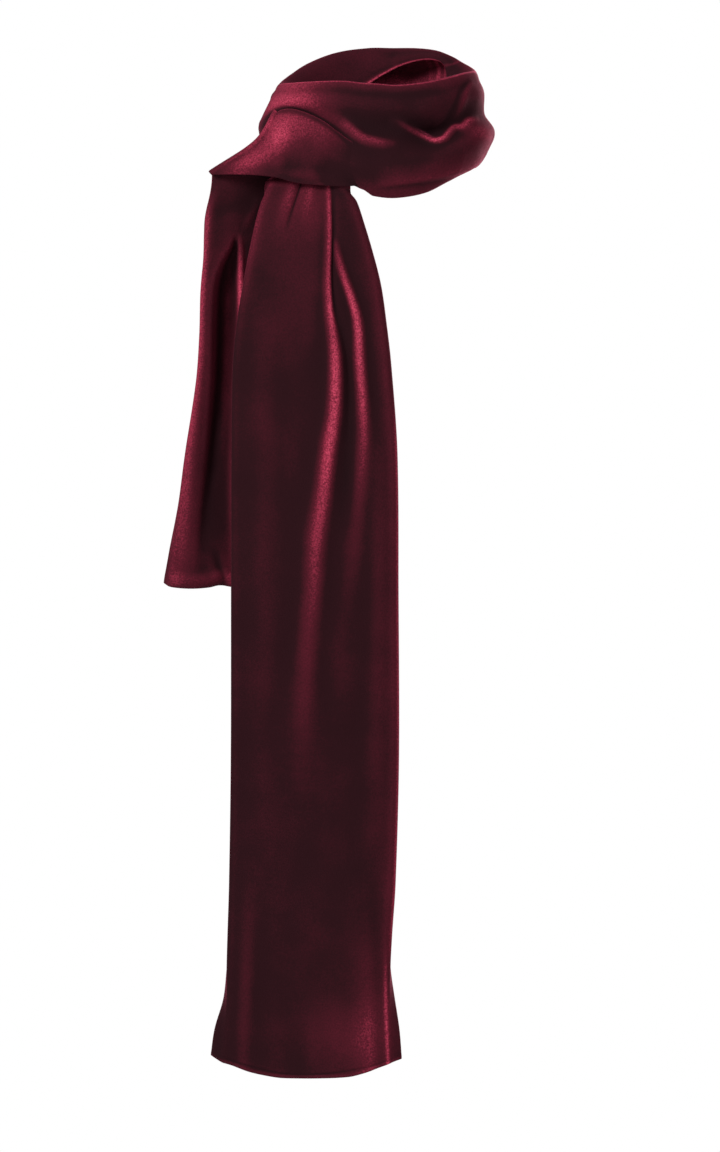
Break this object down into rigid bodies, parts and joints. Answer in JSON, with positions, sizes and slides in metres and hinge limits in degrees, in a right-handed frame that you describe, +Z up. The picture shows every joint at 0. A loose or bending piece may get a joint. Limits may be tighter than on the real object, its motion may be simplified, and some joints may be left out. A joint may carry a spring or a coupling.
{
  "type": "velvet scarf",
  "caption": "Narrow velvet scarf in its worn pose: looped round an empty neck opening, a long tail hanging in front and a short tail folded back behind it.",
  "frame": {"origin": "middle of the loop where the neck carries it", "axes": "+Z up, front towards -Y, +X towards the right of someone who looks at the front"},
  "size_m": [0.3077, 0.2073, 0.9585],
  "materials": {
    "velvet": "deep wine-red pile velvet, dark face on and bright where the pile is seen from the side"
  },
  "bodies": {
    "root": {"neck_front": "velvet", "neck_back": "velvet", "front_lap": "velvet", "front_tail": "velvet", "short_tail": "velvet"}
  },
  "joints": []
}
